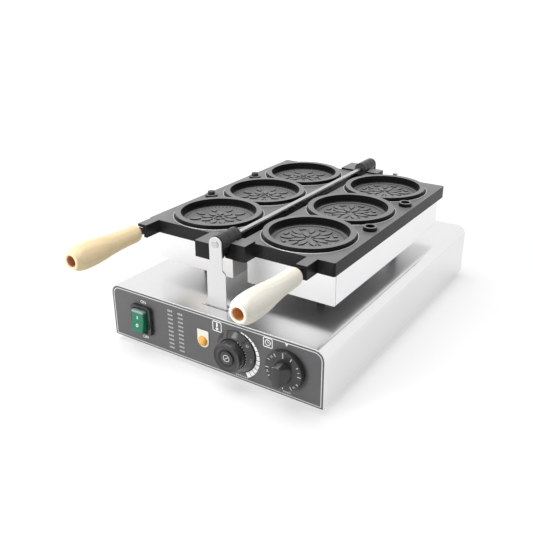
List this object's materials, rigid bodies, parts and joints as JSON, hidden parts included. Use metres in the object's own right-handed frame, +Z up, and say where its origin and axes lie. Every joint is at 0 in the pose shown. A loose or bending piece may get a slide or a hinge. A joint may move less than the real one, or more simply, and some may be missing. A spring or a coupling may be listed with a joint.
{
  "type": "coin waffle maker",
  "caption": "Countertop waffle iron with two side-opening cast plates of round coin moulds over a steel control base with knobs, switch and wooden handles.",
  "frame": {"origin": "middle of the bounding box, on the surface that the feet stand on", "axes": "+X to the right seen from the control panel, +Y from the control panel to the rear, +Z up"},
  "size_m": [0.352, 0.602, 0.1925],
  "materials": {
    "brushed_steel": "brushed stainless sheet",
    "polished_steel": "bright stainless steel",
    "coated_casting": "dark non-stick coating on cast aluminium",
    "overlay_grey": "satin dark grey printed overlay",
    "black_plastic": "satin black",
    "green_plastic": "translucent green, gloss",
    "amber_lens": "translucent amber, gloss",
    "label_white": "matt white",
    "pale_beech": "unvarnished pale beech",
    "black_rubber": "matt",
    "ceramic_fibre": "matt fibre",
    "glazed_ceramic": "glazed"
  },
  "bodies": {
    "base": {"base_shell": "brushed_steel", "front_panel": "brushed_steel", "control_overlay": "overlay_grey", "rear_panel": "brushed_steel", "bottom_cover": "brushed_steel", "front_left_foot": "black_rubber", "front_right_foot": "black_rubber", "rear_left_foot": "black_rubber", "rear_right_foot": "black_rubber", "front_bracket": "brushed_steel", "rear_bracket": "brushed_steel", "front_left_bracket_screw": "polished_steel", "front_right_bracket_screw": "polished_steel", "rear_left_bracket_screw": "polished_steel", "rear_right_bracket_screw": "polished_steel", "hinge_rod": "polished_steel", "front_left_rest_post": "black_rubber", "front_right_rest_post": "black_rubber", "rear_left_rest_post": "black_rubber", "rear_right_rest_post": "black_rubber", "switch_housing": "black_plastic", "lamp_label": "label_white", "lamp_lens": "amber_lens", "lamp_body": "black_plastic", "thermostat_body": "black_plastic", "timer_body": "black_plastic", "terminal_block": "glazed_ceramic", "mains_gland": "black_plastic", "left_lead_grommet": "black_rubber", "right_lead_grommet": "black_rubber"},
    "left_iron": {"left_mould_plate": "coated_casting", "left_heater": "brushed_steel", "left_insulation": "ceramic_fibre", "left_heater_cover": "polished_steel", "front_left_cover_bolt": "polished_steel", "rear_left_cover_bolt": "polished_steel", "left_lead_gland": "polished_steel", "left_handle_stud": "polished_steel", "left_handle": "pale_beech", "front_left_hinge_knuckle": "coated_casting", "rear_left_hinge_knuckle": "coated_casting", "front_locating_pin": "polished_steel", "rear_locating_pin": "polished_steel"},
    "right_iron": {"right_mould_plate": "coated_casting", "front_right_hinge_knuckle": "coated_casting", "rear_right_hinge_knuckle": "coated_casting", "right_heater": "brushed_steel", "right_insulation": "ceramic_fibre", "right_heater_cover": "polished_steel", "front_right_cover_bolt": "polished_steel", "rear_right_cover_bolt": "polished_steel", "right_lead_gland": "polished_steel", "right_handle_stud": "polished_steel", "right_handle": "pale_beech", "sensor_gland": "polished_steel"},
    "rocker": {"switch_rocker": "green_plastic"},
    "temperature_control": {"temperature_knob": "black_plastic", "thermostat_shaft": "polished_steel"},
    "timer_control": {"timer_knob": "black_plastic", "timer_shaft": "polished_steel"}
  },
  "joints": [
    {"name": "left_iron_hinge", "type": "hinge", "parent": "base", "child": "left_iron", "pos_m": [0, 0.0413, 0.182], "axis": [0, 1, 0], "range_deg": [0, 180]},
    {"name": "right_iron_hinge", "type": "hinge", "parent": "base", "child": "right_iron", "pos_m": [0, 0.0413, 0.182], "axis": [0, 1, 0], "range_deg": [-180, 0]},
    {"name": "rocker_tilt", "type": "hinge", "parent": "base", "child": "rocker", "pos_m": [-0.11704, -0.2087, 0.05], "axis": [1, 0, 0], "range_deg": [0, 14]},
    {"name": "temperature_turn", "type": "hinge", "parent": "base", "child": "temperature_control", "pos_m": [0.04479, -0.2087, 0.05], "axis": [0, 1, 0], "range_deg": [0, 300]},
    {"name": "timer_turn", "type": "hinge", "parent": "base", "child": "timer_control", "pos_m": [0.1217, -0.2087, 0.05], "axis": [0, 1, 0], "range_deg": [0, 300]}
  ]
}
